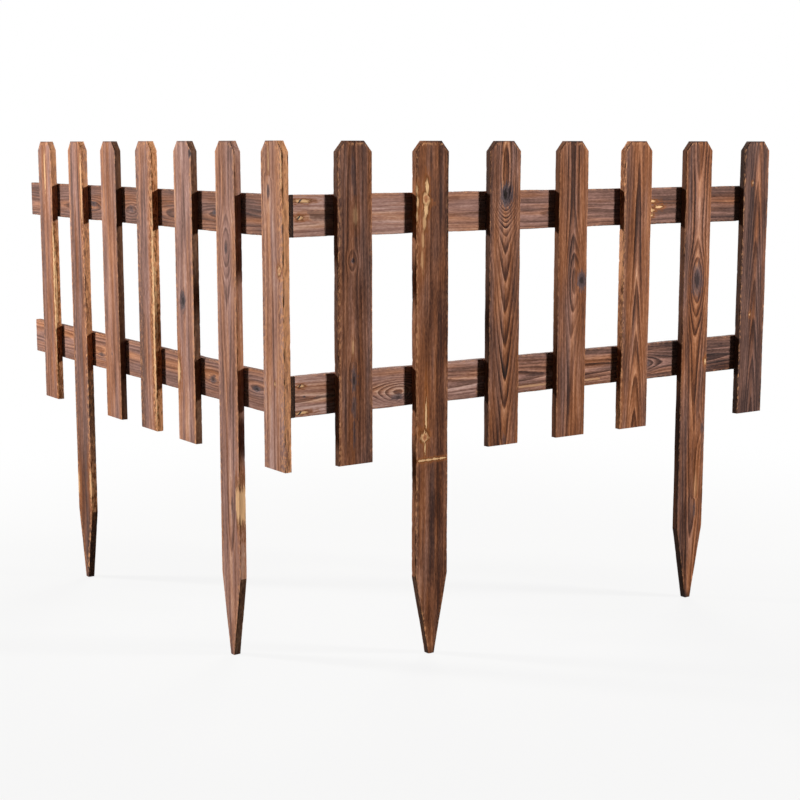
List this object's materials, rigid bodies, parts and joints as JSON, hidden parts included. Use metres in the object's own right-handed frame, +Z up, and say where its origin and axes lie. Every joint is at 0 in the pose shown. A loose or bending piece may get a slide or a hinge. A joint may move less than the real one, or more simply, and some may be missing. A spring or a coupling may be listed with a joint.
{
  "type": "corner picket fence",
  "caption": "Low garden fence corner of charred wooden picket panels, with dog-eared boards and pointed stakes on flat rails, driven into soil to edge a bed.",
  "frame": {"origin": "middle of the blunt tip face of the right panel's first stake", "axes": "+Z up along the stakes; +X along the right panel, away from the corner; +Y along the left panel, away from the corner; the right panel's pickets face -Y and the left panel's face -X"},
  "size_m": [0.6205, 0.607, 0.5],
  "materials": {
    "charred_pine": "flame charred and brushed softwood, matt, with the grain standing proud"
  },
  "bodies": {
    "root": {"left_picket_1": "charred_pine", "left_picket_2": "charred_pine", "left_picket_3": "charred_pine", "left_picket_4": "charred_pine", "left_picket_5": "charred_pine", "left_stake_1": "charred_pine", "left_stake_2": "charred_pine", "left_bottom_rail": "charred_pine", "left_top_rail": "charred_pine", "right_picket_1": "charred_pine", "right_picket_2": "charred_pine", "right_picket_3": "charred_pine", "right_picket_4": "charred_pine", "right_picket_5": "charred_pine", "right_stake_1": "charred_pine", "right_stake_2": "charred_pine", "right_bottom_rail": "charred_pine", "right_top_rail": "charred_pine"}
  },
  "joints": []
}
